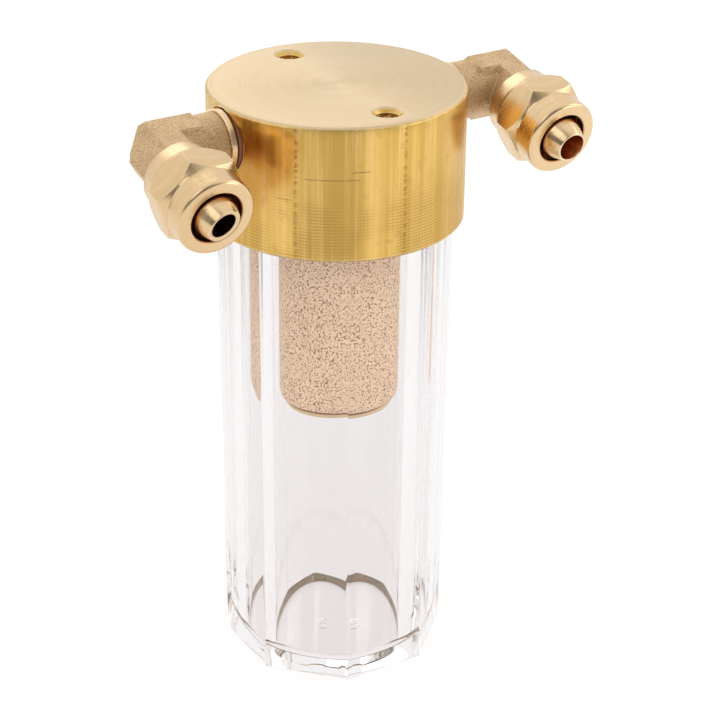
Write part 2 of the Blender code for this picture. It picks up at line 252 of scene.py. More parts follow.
def buildThreadTree():
    # pushes a plain wall in or out along a helix
    tree, entry, exit = newTree("threadForm", [
        ("Centre", "NodeSocketVector", (0, 0, 0)), ("Wall Radius", "NodeSocketFloat", 0.01),
        ("Reach", "NodeSocketFloat", 0.0002), ("Low", "NodeSocketFloat", 0.0),
        ("High", "NodeSocketFloat", 0.01), ("Pitch", "NodeSocketFloat", 0.001),
        ("Depth", "NodeSocketFloat", 0.0005), ("Material", "NodeSocketMaterial", None)])
    place = addNode(tree, "ShaderNodeVectorMath",
                    {0: tree.nodes.new("GeometryNodeInputPosition").outputs[0], 1: entry.outputs["Centre"]},
                    operation="SUBTRACT").outputs[0]
    x, y, z = addNode(tree, "ShaderNodeSeparateXYZ", {0: place}).outputs[:]
    radius = distanceFromAxis(tree, x, y)
    turn = maths(tree, "DIVIDE", maths(tree, "ARCTAN2", y, x), 2 * math.pi)
    phase = maths(tree, "FRACT", maths(tree, "SUBTRACT", maths(tree, "DIVIDE", z, entry.outputs["Pitch"]),
                                       turn))
    ramp = maths(tree, "ABSOLUTE", maths(tree, "SUBTRACT", times(tree, phase, 2.0), 1.0))
    groove = smoothStep(tree, ramp, 0.12, 0.88)
    edge = times(tree, entry.outputs["Pitch"], 0.6)
    rising = smoothStep(tree, z, entry.outputs["Low"], maths(tree, "ADD", entry.outputs["Low"], edge))
    falling = smoothStep(tree, z, entry.outputs["High"],
                         maths(tree, "SUBTRACT", entry.outputs["High"], edge))
    amount = times(tree, times(tree, groove, entry.outputs["Depth"]),
                   times(tree, rising, falling))
    outward = addNode(tree, "ShaderNodeVectorMath",
                      {0: addNode(tree, "ShaderNodeCombineXYZ", {0: x, 1: y}).outputs[0]},
                      operation="NORMALIZE")
    offset = addNode(tree, "ShaderNodeVectorMath", {0: outward.outputs[0], 3: amount}, operation="SCALE")
    near = addNode(tree, "FunctionNodeCompare",
                   {0: maths(tree, "ABSOLUTE", maths(tree, "SUBTRACT", radius,
                                                     entry.outputs["Wall Radius"])),
                    1: entry.outputs["Reach"]}, data_type="FLOAT", operation="LESS_THAN")
    moved = addNode(tree, "GeometryNodeSetPosition", {"Geometry": entry.outputs["Geometry"],
                    "Selection": near.outputs[0], "Offset": offset.outputs[0]})
    return closeTree(tree, moved.outputs[0], entry, exit)


def buildGrainTree():
    # raises a skin into packed grains, and lets it swell gently at a larger size
    tree, entry, exit = newTree("grainSkin", [
        ("Grain Size", "NodeSocketFloat", 0.0005), ("Grain Depth", "NodeSocketFloat", 0.0001),
        ("Swell Size", "NodeSocketFloat", 0.004), ("Swell Depth", "NodeSocketFloat", 0.0001),
        ("Seed", "NodeSocketFloat", 1.0), ("Material", "NodeSocketMaterial", None)])
    position = tree.nodes.new("GeometryNodeInputPosition").outputs[0]
    shifted = addNode(tree, "ShaderNodeVectorMath", {0: position, 1: entry.outputs["Seed"]},
                      operation="ADD").outputs[0]
    grains = addNode(tree, "ShaderNodeTexVoronoi",
                     {"Vector": shifted, "Scale": maths(tree, "DIVIDE", 1.0, entry.outputs["Grain Size"])})
    swell = addNode(tree, "ShaderNodeTexNoise", {"Vector": shifted, "Detail": 2.0,
                    "Scale": maths(tree, "DIVIDE", 1.0, entry.outputs["Swell Size"])})
    fine = times(tree, maths(tree, "SUBTRACT", grains.outputs["Distance"], 0.45),
                 entry.outputs["Grain Depth"])
    broad = times(tree, maths(tree, "SUBTRACT", swell.outputs[0], 0.5), entry.outputs["Swell Depth"])
    offset = addNode(tree, "ShaderNodeVectorMath",
                     {0: tree.nodes.new("GeometryNodeInputNormal").outputs[0],
                      3: maths(tree, "SUBTRACT", broad, fine)},
                     operation="SCALE")
    moved = addNode(tree, "GeometryNodeSetPosition",
                    {"Geometry": entry.outputs["Geometry"], "Offset": offset.outputs[0]})
    return closeTree(tree, moved.outputs[0], entry, exit)


threadForm = buildThreadTree()
grainSkin = buildGrainTree()
print("shape rules ready")


# effects that several finishes share, as shader groups

def newGroup(name, inputs, outputs):
    tree = bpy.data.node_groups.new(name, "ShaderNodeTree")
    for label, kind, value in inputs:
        tree.interface.new_socket(label, in_out="INPUT", socket_type=kind).default_value = value
    for label in outputs:
        tree.interface.new_socket(label, in_out="OUTPUT", socket_type="NodeSocketFloat")
    return tree, tree.nodes.new("NodeGroupInput"), tree.nodes.new("NodeGroupOutput")


def buildEdgeWear():
    tree, entry, exit = newGroup("edgeWear", [("Width", "NodeSocketFloat", 0.0003),
                                              ("Patch Scale", "NodeSocketFloat", 400.0)], ["Wear"])
    rounded = addNode(tree, "ShaderNodeBevel", {"Radius": entry.outputs["Width"]}, samples=4)
    facing = addNode(tree, "ShaderNodeVectorMath",
                     {0: rounded.outputs[0], 1: tree.nodes.new("ShaderNodeNewGeometry").outputs["Normal"]},
                     operation="DOT_PRODUCT").outputs["Value"]
    edge = smoothStep(tree, maths(tree, "SUBTRACT", 1.0, facing), 0.004, 0.09)
    spot = addNode(tree, "ShaderNodeTexNoise", {"Scale": entry.outputs["Patch Scale"], "Detail": 3.0,
                   "Vector": tree.nodes.new("ShaderNodeTexCoord").outputs["Object"]})
    tree.links.new(times(tree, edge, smoothStep(tree, spot.outputs[0], 0.25, 0.6, 0.35, 1.0)),
                   exit.inputs["Wear"])
    return tree


def buildTurnedMarks():
    # fine lines left by a lathe; the vector's Z runs along the turned axis
    tree, entry, exit = newGroup("turnedMarks", [("Vector", "NodeSocketVector", (0, 0, 0)),
                                                 ("Pitch", "NodeSocketFloat", 0.0003)], ["Lines", "Bands"])
    x, y, z = addNode(tree, "ShaderNodeSeparateXYZ", {0: entry.outputs["Vector"]}).outputs[:]
    radius = distanceFromAxis(tree, x, y)
    along = maths(tree, "ADD", radius, times(tree, z, 0.83))
    count = maths(tree, "DIVIDE", along, entry.outputs["Pitch"])
    fine = noiseAlong(tree, count)
    broad = noiseAlong(tree, times(tree, count, 0.09))
    tree.links.new(smoothStep(tree, fine, 0.3, 0.7), exit.inputs["Lines"])
    tree.links.new(smoothStep(tree, broad, 0.35, 0.65), exit.inputs["Bands"])
    return tree


def buildGrain():
    tree, entry, exit = newGroup("grain", [("Size", "NodeSocketFloat", 0.0005),
                                           ("Detail", "NodeSocketFloat", 3.0),
                                           ("Pit Start", "NodeSocketFloat", 0.42)],
                                 ["Grain", "Pits", "Patches"])
    where = tree.nodes.new("ShaderNodeTexCoord").outputs["Object"]
    scale = maths(tree, "DIVIDE", 1.0, entry.outputs["Size"])
    fine = addNode(tree, "ShaderNodeTexNoise", {"Vector": where, "Scale": scale,
                                                "Detail": entry.outputs["Detail"]})
    cells = addNode(tree, "ShaderNodeTexVoronoi", {"Vector": where, "Scale": scale})
    broad = addNode(tree, "ShaderNodeTexNoise", {"Vector": where, "Scale": times(tree, scale, 0.06),
                    "Detail": 3.0})
    tree.links.new(smoothStep(tree, fine.outputs[0], 0.3, 0.7), exit.inputs["Grain"])
    tree.links.new(smoothStep(tree, cells.outputs["Distance"], entry.outputs["Pit Start"],
                              maths(tree, "ADD", entry.outputs["Pit Start"], 0.22)), exit.inputs["Pits"])
    tree.links.new(smoothStep(tree, broad.outputs[0], 0.35, 0.65), exit.inputs["Patches"])
    return tree


edgeWear, turnedMarks, grain = buildEdgeWear(), buildTurnedMarks(), buildGrain()


def useGroup(tree, group, **values):
    item = tree.nodes.new("ShaderNodeGroup")
    item.node_tree = group
    for key, value in values.items():
        socket = item.inputs[key.replace("_", " ")]
        if isinstance(value, bpy.types.NodeSocket):
            tree.links.new(value, socket)
        else:
            socket.default_value = value
    return item.outputs


def newFinish(name, **fixed):
    finish = bpy.data.materials.new(name)
    finish.use_nodes = True
    tree = finish.node_tree
    shader = tree.nodes["Principled BSDF"]
    for key, value in fixed.items():
        shader.inputs[key.replace("_", " ")].default_value = value
    return finish, tree, shader


def raisedBy(tree, shader, height, depth, strength=1.0, under=None):
    bump = addNode(tree, "ShaderNodeBump", {"Height": height, "Distance": depth, "Strength": strength})
    if under is not None:
        tree.links.new(under, bump.inputs["Normal"])
    tree.links.new(bump.outputs[0], shader.inputs["Normal"])
    return bump.outputs[0]


def ownAxis(tree, place):
    # object coordinates turned so that Z runs along the piece's own axis
    turnBack = place.to_euler()
    return addNode(tree, "ShaderNodeMapping",
                   {"Vector": tree.nodes.new("ShaderNodeTexCoord").outputs["Object"],
                    "Location": place.translation, "Rotation": turnBack}, vector_type="TEXTURE").outputs[0]


def machinedBrass(name, place, settings):
    finish, tree, shader = newFinish(name, Metallic=1.0)
    lines, bands = useGroup(tree, turnedMarks, Vector=ownAxis(tree, place), Pitch=settings["pitch"])[:]
    wear = useGroup(tree, edgeWear, Width=settings["edge"])[0]
    patches = useGroup(tree, grain, Size=settings["patch"])["Patches"]
    colour = blendColours(tree, times(tree, bands, 0.55), settings["colour"], settings["deep"])
    colour = blendColours(tree, times(tree, patches, settings.get("tarnish", 0.3)), colour,
                          settings["stain"])
    colour = blendColours(tree, times(tree, wear, 0.75), colour, settings["bright"])
    if "bore" in settings:          # the hollow inside has gone brown
        x, y, z = addNode(tree, "ShaderNodeSeparateXYZ", {0: ownAxis(tree, place)}).outputs[:]
        out = distanceFromAxis(tree, x, y)
        colour = blendColours(tree, smoothStep(tree, out, settings["bore"], settings["bore"] - 0.15 * mm),
                              colour, (0.56, 0.30, 0.15))
    tree.links.new(colour, shader.inputs["Base Color"])
    rough = maths(tree, "MULTIPLY_ADD", lines, settings["spread"], settings["rough"])
    rough = maths(tree, "MULTIPLY_ADD", patches, 0.06, rough)
    tree.links.new(rough, shader.inputs["Roughness"])
    raisedBy(tree, shader, lines, settings["depth"])
    return finish


def forgedBrass(name, settings):
    finish, tree, shader = newFinish(name, Metallic=1.0)
    wear = useGroup(tree, edgeWear, Width=settings["edge"], Patch_Scale=900.0)[0]
    fine, pits, patches = useGroup(tree, grain, Size=settings["grain"], Detail=4.0)[:]
    colour = blendColours(tree, patches, settings["colour"], settings["deep"])
    colour = blendColours(tree, times(tree, fine, 0.55), colour, settings["pale"])
    colour = blendColours(tree, times(tree, pits, 0.5), colour, settings["pit"])
    colour = blendColours(tree, times(tree, wear, 0.8), colour, settings["bright"])
    tree.links.new(colour, shader.inputs["Base Color"])
    tree.links.new(maths(tree, "MULTIPLY_ADD", fine, 0.16, settings["rough"]), shader.inputs["Roughness"])
    raisedBy(tree, shader, fine, settings["depth"])
    return finish


# camera, so that the view is settled first

view = {"place": (-0.2475, -0.3938, 0.3095), "heading": 32.9, "down": 26.75, "roll": 0.69, "lens": 107.2}
cameraData = bpy.data.cameras.new("camera")
cameraData.lens, cameraData.sensor_width = view["lens"], 36.0
cameraData.clip_start, cameraData.clip_end = 0.01, 20
camera = bpy.data.objects.new("camera", cameraData)
bpy.context.scene.collection.objects.link(camera)
camera.matrix_world = (Matrix.Translation(view["place"])
                       @ Matrix.Rotation(math.radians(-view["heading"]), 4, "Z")
                       @ Matrix.Rotation(math.radians(90 - view["down"]), 4, "X")
                       @ Matrix.Rotation(math.radians(view["roll"]), 4, "Z"))
bpy.context.scene.camera = camera


# head

headLow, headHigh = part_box("head")
head = {"radius": headHigh.x, "low": headLow.z, "top": headHigh.z, "chamfer": 0.75 * mm, "web": 128.0 * mm,
        "socket": 24.0 * mm, "portHeight": joints["nut_left_turn"]["pos_m"][2], "portHole": 5.1 * mm,
        "portEnd": 20.4 * mm, "spotFace": 7.7 * mm, "spotDepth": 28.6 * mm, "passage": 3.5 * mm,
        "studHole": 6.3 * mm, "studTop": 134.4 * mm,
        "screwHole": 2.6 * mm, "screwSink": 3.75 * mm, "screwDepth": 10.0 * mm, "screwPitch": 22.45 * mm,
        "screwLine": math.radians(-92.2), "threadDepth": 0.9 * mm, "threadPitch": 2.0 * mm,
        "weave": 0.74 * mm, "scratches": ((133.9 * mm, -137, -110), (135.7 * mm, -117, -105),
                                          (128.6 * mm, -150, -138)),
        "markRows": (-139.5, -91.5), "inletDrills": ((-9.0, 7.3 * mm), (0.0, 8.6 * mm), (9.0, 6.9 * mm)),
        # where the painted shade band on the side is centred
        "shadeBandTurn": math.radians(-124)}


def headFinish():
    finish, tree, shader = newFinish("turnedHeadBrass", Metallic=1.0, Anisotropic=0.55)
    where = tree.nodes.new("ShaderNodeTexCoord").outputs["Object"]
    x, y, z = addNode(tree, "ShaderNodeSeparateXYZ", {0: where}).outputs[:]
    top = smoothStep(tree, z, head["top"] - 0.6 * mm, head["top"] - 0.3 * mm)
    lines, bands = useGroup(tree, turnedMarks, Vector=where, Pitch=0.00022)[:]
    wear = useGroup(tree, edgeWear, Width=0.0004)[0]
    # the bar's skin: drawn streaks up the side, crossed by faint turning
    streakVector = addNode(tree, "ShaderNodeMapping", {"Vector": where, "Scale": (620, 620, 11)}).outputs[0]
    streaks = noise(tree, streakVector, 1.0, 3.0)
    broadVector = addNode(tree, "ShaderNodeMapping", {"Vector": where, "Scale": (130, 130, 5)}).outputs[0]
    broad = noise(tree, broadVector, 1.0)
    turn = maths(tree, "ARCTAN2", y, x)
    # a fine weave where the drawn streaks and the steady rest's lines cross
    hatchArea = noise(tree, where, 60.0)
    sway = times(tree, noise(tree, where, 110.0), 3.4)
    upright = maths(tree, "SINE", maths(tree, "MULTIPLY_ADD", turn,
                                        2 * math.pi * head["radius"] / head["weave"], sway))
    level = maths(tree, "SINE", maths(tree, "MULTIPLY_ADD", z, 2 * math.pi / head["weave"], sway))
    hatch = times(tree, smoothStep(tree, hatchArea, 0.40, 0.60),
                  smoothStep(tree, z, head["top"] - 9 * mm, head["low"] + 9 * mm, 0.12, 1.0))
    cross = maths(tree, "MAXIMUM", smoothStep(tree, level, -0.1, 1.0),
                  smoothStep(tree, upright, 0.1, 1.0, 0.0, 0.75))
    # two rows of pick marks
    marks = None
    smear = noise(tree, where, 700.0, 3.0)
    for angle in head["markRows"]:
        near = smoothStep(tree, maths(tree, "ABSOLUTE", maths(tree, "SUBTRACT", turn, math.radians(angle))),
                          times(tree, smear, 0.052), 0.0)
        beat = noiseAlong(tree, times(tree, z, 1100.0 + angle))
        row = times(tree, near, smoothStep(tree, beat, 0.40, 0.62, 0.15, 1.0))
        marks = row if marks is None else maths(tree, "MAXIMUM", marks, row)
    # a few level scratches
    for height, start, end in head["scratches"]:
        near = smoothStep(tree, maths(tree, "ABSOLUTE", maths(tree, "SUBTRACT", z, height)), 0.16 * mm,
                          0.03 * mm)
        part = times(tree, smoothStep(tree, turn, math.radians(start), math.radians(start + 3)),
                     smoothStep(tree, turn, math.radians(end), math.radians(end - 4)))
        line = times(tree, times(tree, near, part), smoothStep(tree, smear, 0.3, 0.6, 0.3, 0.8))
        marks = maths(tree, "MAXIMUM", marks, line)
    # painted shade: a brown darkening on the side below each port, under its fitting
    paintedPortShade = None
    for side in (-1, 1):
        gap = addNode(tree, "ShaderNodeVectorMath",
                      {0: where, 1: (side * 29.6 * mm, -4.0 * mm, head["portHeight"] - 5 * mm)},
                      operation="DISTANCE").outputs["Value"]
        spot = smoothStep(tree, gap, 16 * mm, 7 * mm)
        paintedPortShade = spot if paintedPortShade is None else maths(tree, "MAXIMUM", paintedPortShade, spot)
    paintedPortShade = times(tree, paintedPortShade, smoothStep(tree, broad, 0.3, 0.6, 0.3, 0.85))
    # the side's colour is partly the drawn skin's own and partly painted shade: it is set darker and more
    # orange than the top, for the duller reflection the side shows
    sideColourAndPaintedLight = blendColours(tree, smoothStep(tree, broad, 0.35, 0.65), (0.76, 0.475, 0.13),
                              (0.62, 0.375, 0.085))
    # painted shade: a darker band round the side at this turn, standing for a duller reflection there
    stain = smoothStep(tree, maths(tree, "ABSOLUTE", maths(tree, "SUBTRACT", turn, head["shadeBandTurn"])),
                       math.radians(19), math.radians(9), 0.0, 0.85)
    sideColourAndPaintedLight = blendColours(tree, stain, sideColourAndPaintedLight, (0.49, 0.305, 0.075))
    # painted highlight: the drawn streaks are lightened to pale gold
    sideColourAndPaintedLight = blendColours(tree, smoothStep(tree, streaks, 0.42, 0.72, 0.0, 0.6), sideColourAndPaintedLight,
                              (0.92, 0.63, 0.24))
    sideColourAndPaintedLight = blendColours(tree, times(tree, times(tree, hatch, cross), 0.75),
                              sideColourAndPaintedLight, (0.46, 0.27, 0.06))
    specks = noise(tree, where, 420.0, 4.0)
    sideColourAndPaintedLight = blendColours(tree, smoothStep(tree, specks, 0.56, 0.76, 0.0, 0.5), sideColourAndPaintedLight,
                              (0.50, 0.31, 0.09))
    # painted shade under the fittings
    sideColourAndPaintedLight = blendColours(tree, paintedPortShade, sideColourAndPaintedLight, (0.52, 0.24, 0.05))
    sideColourAndPaintedLight = blendColours(tree, times(tree, marks, 0.75), sideColourAndPaintedLight, (0.33, 0.20, 0.06))
    topColour = blendColours(tree, bands, (0.72, 0.565, 0.36), (0.70, 0.54, 0.33))
    topColour = blendColours(tree, times(tree, lines, 0.35), topColour, (0.80, 0.64, 0.42))
    colour = blendColours(tree, top, sideColourAndPaintedLight, topColour)
    colour = blendColours(tree, times(tree, wear, 0.7), colour, (0.98, 0.86, 0.56))
    tree.links.new(colour, shader.inputs["Base Color"])
    sideRough = maths(tree, "MULTIPLY_ADD", streaks, 0.22, 0.14)
    sideRough = maths(tree, "MULTIPLY_ADD", hatch, 0.12, sideRough)
    topRough = maths(tree, "MULTIPLY_ADD", lines, 0.12, 0.38)
    rough = addNode(tree, "ShaderNodeMix", {0: top, 2: sideRough, 3: topRough}).outputs[0]
    tree.links.new(rough, shader.inputs["Roughness"])
    sideHeight = maths(tree, "ADD", times(tree, streaks, 0.8),
                       times(tree, times(tree, cross, hatch), -0.8))
    sideHeight = maths(tree, "SUBTRACT", sideHeight, times(tree, marks, 1.5))
    height = addNode(tree, "ShaderNodeMix", {0: top, 2: sideHeight, 3: times(tree, lines, 0.5)}).outputs[0]
    raisedBy(tree, shader, height, 0.00003)
    tangent = tree.nodes.new("ShaderNodeTangent")
    tangent.direction_type, tangent.axis = "RADIAL", "Z"
    tree.links.new(tangent.outputs[0], shader.inputs["Tangent"])
    return finish


def makeHead():
    h, c, soft = head, head["chamfer"], 0.12 * mm
    bar = turned("headBar", [(0, h["low"]), (h["radius"] - 0.5 * mm, h["low"]),
                             (h["radius"], h["low"] + 0.5 * mm)]
                 + evenly([(h["radius"], h["low"] + 0.6 * mm), (h["radius"], h["top"] - c - soft)],
                          2.5 * mm)
                 + [(h["radius"] - 0.3 * soft, h["top"] - c + 0.3 * soft),
                    (h["radius"] - c + 0.3 * soft, h["top"] - 0.3 * soft),
                    (h["radius"] - c - soft, h["top"]), (0, h["top"])], 240)
    wall = evenly([(h["socket"], h["low"] + 0.6 * mm), (h["socket"], h["web"])], 0.24 * mm)
    cuts = [turned("socket", [(0, h["low"] - mm), (h["socket"] + 1.6 * mm, h["low"] - mm)] + wall
                   + [(0, h["web"])], 144),
            turned("studHole", [(0, h["web"] - mm), (h["studHole"], h["web"] - mm),
                                (h["studHole"], h["studTop"]), (0, h["studTop"])], 64),
            turned("downDrill", [(0, h["studTop"] - 2 * mm), (3.1 * mm, h["studTop"] - 2 * mm),
                                 (3.1 * mm, h["portHeight"] + 0.7 * mm), (0, h["portHeight"] + 0.7 * mm)],
                   40)]
    for side in (-1, 1):
        end = -1.3 * mm if side > 0 else 17.2 * mm
        port = turned("port", [(0, end), (h["passage"], end), (h["passage"], h["portEnd"] - 1.6 * mm),
                               (h["portHole"], h["portEnd"]), (h["portHole"], h["spotDepth"]),
                               (h["spotFace"], h["spotDepth"]), (h["spotFace"], h["radius"] + 3 * mm),
                               (0, h["radius"] + 3 * mm)], 72,
                      Matrix.Translation((0, 0, h["portHeight"]))
                      @ Matrix.Rotation(math.radians(90 * side), 4, "Y"))
        cuts.append(port)
    for offset, depth in h["inletDrills"]:
        angle = math.radians(180 + offset)
        cuts.append(turned("inletDrill", [(0, h["web"] - mm), (1.9 * mm, h["web"] - mm),
                                          (1.9 * mm, h["web"] + depth), (0, h["web"] + depth)], 32,
                           Matrix.Translation((19 * mm * math.cos(angle), 19 * mm * math.sin(angle), 0))))
    centres = []
    for half in (0, math.pi):
        angle, low = h["screwLine"] + half, h["top"] - h["screwDepth"]
        sink = h["screwSink"] - h["screwHole"]
        centre = Vector((h["screwPitch"] * math.cos(angle), h["screwPitch"] * math.sin(angle), 0))
        centres.append(centre)
        bore = evenly([(h["screwHole"], low), (h["screwHole"], h["top"] - sink)], 0.125 * mm)
        cuts.append(turned("screwHole", [(0, low - 1.2 * mm)] + bore
                           + [(h["screwSink"] + mm, h["top"] + mm), (0, h["top"] + mm)], 48,
                           Matrix.Translation(centre)))
    cuts.append(turned("pip", [(0, h["top"] - 0.5 * mm), (1.1 * mm, h["top"] + 0.6 * mm),
                               (0, h["top"] + 0.6 * mm)], 24))
    obj = cutAndJoin(bar, cuts=cuts)
    finish = headFinish()
    throughTree(obj, threadForm, {"Centre": (0, 0, 0), "Wall Radius": h["socket"], "Reach": 0.1 * mm,
                                  "Low": h["low"] + 1.2 * mm, "High": h["web"] - 3 * mm,
                                  "Pitch": h["threadPitch"], "Depth": h["threadDepth"], "Material": finish})
    for centre in centres:
        throughTree(obj, threadForm, {"Centre": tuple(centre), "Wall Radius": h["screwHole"],
                                      "Reach": 0.05 * mm, "Low": h["top"] - h["screwDepth"] + 1.5 * mm,
                                      "High": h["top"] - 1.2 * mm, "Pitch": 1.0 * mm, "Depth": 0.4 * mm,
                                      "Material": finish})
    return piece(obj, "turnedHead", "body", finish, ["head"], sharp=24)


makeHead()
print("head made")


# bowl

bowlLow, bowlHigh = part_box("bowl")
bowl = {"foot": 27.35 * mm, "shoulder": 28.1 * mm, "clock": math.radians(19.8), "neck": 23.7 * mm,
        "neckTop": bowlHigh.z, "bodyTop": headLow.z - 0.3 * mm, "cavityTop": 20.3 * mm,
        "cavityFoot": 19.6 * mm, "cavityCorner": 3.5 * mm, "floor": 2.0 * mm, "edge": 0.45 * mm,
        "threadDepth": -0.9 * mm, "threadPitch": 2.0 * mm}


def clearFinish():
    finish, tree, shader = newFinish("clearBowlPlastic", Metallic=0.0, Transmission_Weight=1.0, IOR=1.5)
    where = tree.nodes.new("ShaderNodeTexCoord").outputs["Object"]
    haze = noise(tree, where, 60.0)
    flow = addNode(tree, "ShaderNodeMapping", {"Vector": where, "Scale": (90, 90, 14)}).outputs[0]
    ripples = noise(tree, flow, 1.0, 1.0)
    rubs = noise(tree, where, 900.0)
    wear = useGroup(tree, edgeWear, Width=0.0004, Patch_Scale=500.0)[0]
    tree.links.new(blendColours(tree, haze, (0.908, 0.888, 0.888), (0.892, 0.872, 0.872)),
                   shader.inputs["Base Color"])
    rough = maths(tree, "MULTIPLY_ADD", smoothStep(tree, rubs, 0.55, 0.8), 0.03, 0.005)
    tree.links.new(maths(tree, "MULTIPLY_ADD", wear, 0.05, rough), shader.inputs["Roughness"])
    raisedBy(tree, shader, ripples, 0.0001, 0.04)
    # lamps and soft light pass straight through, so that the element and the floor stay lit
    path = tree.nodes.new("ShaderNodeLightPath")
    passing = maths(tree, "MAXIMUM", path.outputs["Is Shadow Ray"], path.outputs["Is Diffuse Ray"])
    throughLight = addNode(tree, "ShaderNodeBsdfTransparent", {"Color": (0.985, 0.975, 0.975, 1.0)})
    either = addNode(tree, "ShaderNodeMixShader", {0: passing, 1: shader.outputs[0],
                                                   2: throughLight.outputs[0]})
    tree.links.new(either.outputs[0], tree.nodes["Material Output"].inputs["Surface"])
    return finish


def makeBowl():
    b = bowl
    body = flatSided("bowlFlats", 8, b["foot"], b["shoulder"], 0.0, b["bodyTop"], b["clock"] + math.pi / 2)
    softEdges(body, b["edge"], 4, 30)
    thread = evenly([(b["neck"], b["bodyTop"] + 0.2 * mm), (b["neck"], b["neckTop"] - 0.7 * mm)], 0.24 * mm)
    neck = turned("bowlNeck", [(0, b["bodyTop"] - 2 * mm), (b["neck"], b["bodyTop"] - 2 * mm)] + thread
                  + [(b["neck"] - 0.7 * mm, b["neckTop"]), (0, b["neckTop"])], 144)
    corner = arc(b["cavityFoot"] - b["cavityCorner"], b["floor"] + b["cavityCorner"], b["cavityCorner"],
                 -90, 0, 10)
    cavity = turned("bowlCavity", [(0, b["floor"])] + corner
                    + [(b["cavityTop"], b["neckTop"] + mm), (0, b["neckTop"] + mm)], 192)
    gate = turned("gateMark", [(0, -mm), (2.6 * mm, -mm), (2.4 * mm, 0.25 * mm), (1.1 * mm, 0.3 * mm),
                               (0.7 * mm, 0.12 * mm), (0, 0.1 * mm)], 40)
    obj = cutAndJoin(body, adds=[neck], cuts=[cavity, gate])
    finish = clearFinish()
    throughTree(obj, threadForm, {"Wall Radius": b["neck"], "Reach": 0.1 * mm,
                                  "Low": b["bodyTop"] + 1.0 * mm, "High": b["neckTop"] - 2.2 * mm,
                                  "Pitch": b["threadPitch"], "Depth": b["threadDepth"],
                                  "Material": finish})
    return piece(obj, "clearBowl", "bowl", finish, ["bowl"], sharp=14)


makeBowl()
print("bowl made")


# element, its cap, stud and nut

elementLow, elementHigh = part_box("element")
element = {"radius": elementHigh.x, "bore": 13.5 * mm, "low": elementLow.z, "top": elementHigh.z,
           "corner": 3.0 * mm, "grain": 0.42 * mm, "depth": 0.12 * mm, "step": 0.30 * mm}


def sinteredFinish():
    finish, tree, shader = newFinish("sinteredBronze", Metallic=0.1, Specular_IOR_Level=0.5)
    fine, pits, patches = useGroup(tree, grain, Size=element["grain"], Detail=3.0, Pit_Start=0.53)[:]
    colour = blendColours(tree, patches, (0.97, 0.69, 0.43), (0.92, 0.62, 0.37))
    # painted highlight: the grains are lightened to pale gold
    colour = blendColours(tree, times(tree, fine, 0.5), colour, (1.0, 0.80, 0.56))
    # painted shade: the pits are darkened to deep brown, for the shade in the pores
    colour = blendColours(tree, times(tree, pits, 0.92), colour, (0.34, 0.16, 0.07))
    tree.links.new(colour, shader.inputs["Base Color"])
    tree.links.new(maths(tree, "MULTIPLY_ADD", fine, -0.15, 0.6), shader.inputs["Roughness"])
    raisedBy(tree, shader, maths(tree, "SUBTRACT", fine, pits), 0.00007)
    return finish


def makeElement():
    e = element
    outer = [(e["bore"], e["low"])] + arc(e["radius"] - e["corner"], e["low"] + e["corner"], e["corner"],
                                          -90, 0, 10)
    outline = evenly(outer + [(e["radius"], e["top"] - 0.4 * mm), (e["radius"] - 0.4 * mm, e["top"]),
                              (e["bore"], e["top"])], e["step"])
    inner = evenly([(e["bore"], e["top"]), (e["bore"], e["low"])], 3 * mm)[1:-1]
    obj = turned("elementTube", outline + inner, 340)
    finish = sinteredFinish()
    throughTree(obj, grainSkin, {"Grain Size": e["grain"], "Grain Depth": e["depth"], "Swell Size": 4 * mm,
                                 "Swell Depth": 0.05 * mm, "Seed": 0.0, "Material": finish})
    return piece(obj, "sinteredElement", "element", finish, ["element"], sharp=70)


makeElement()

upright = Matrix()
capSettings = {"colour": (0.84, 0.64, 0.36), "deep": (0.74, 0.53, 0.26), "stain": (0.60, 0.40, 0.18),
               "bright": (0.97, 0.84, 0.56), "rough": 0.2, "spread": 0.12, "pitch": 0.00025,
               "depth": 0.00001, "edge": 0.0002, "patch": 0.004}
capFinish = machinedBrass("turnedCapBrass", upright, capSettings)


cap = {"hole": 4.3 * mm, "flange": 15.0 * mm, "spigot": 13.2 * mm, "flangeHeight": 1.0 * mm,
       "height": 3.6 * mm}
stud = {"thin": 4.0 * mm, "thick": 6.0 * mm, "step": 98.0 * mm, "bore": 3.4 * mm, "crossHole": 2.2 * mm,
        "crossHeights": ((106 * mm, 0.0), (113 * mm, math.pi / 2)), "lowPitch": 1.25 * mm,
        "highPitch": 1.5 * mm}
studNut = {"bore": 4.3 * mm, "mouth": 4.75 * mm, "lead": 0.35 * mm, "soft": 0.1 * mm}


def makeCap():
    c = cap
    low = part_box("element_cap")[0].z
    top, end, rim = low + c["flangeHeight"], low + c["height"], 0.4 * mm
    foot = arc(c["flange"] - rim, low + rim, rim, -90, 0, 3)
    outline = [(c["hole"], low), (c["flange"] - rim, low), *foot, (c["flange"], top), (c["spigot"], top),
               (c["spigot"], end - rim), (c["spigot"] - rim, end), (c["hole"], end)]
    obj = turned("cap", outline, 128)
    softEdges(obj, 0.08 * mm)
    return piece(obj, "elementCap", "element", capFinish, ["element_cap"])


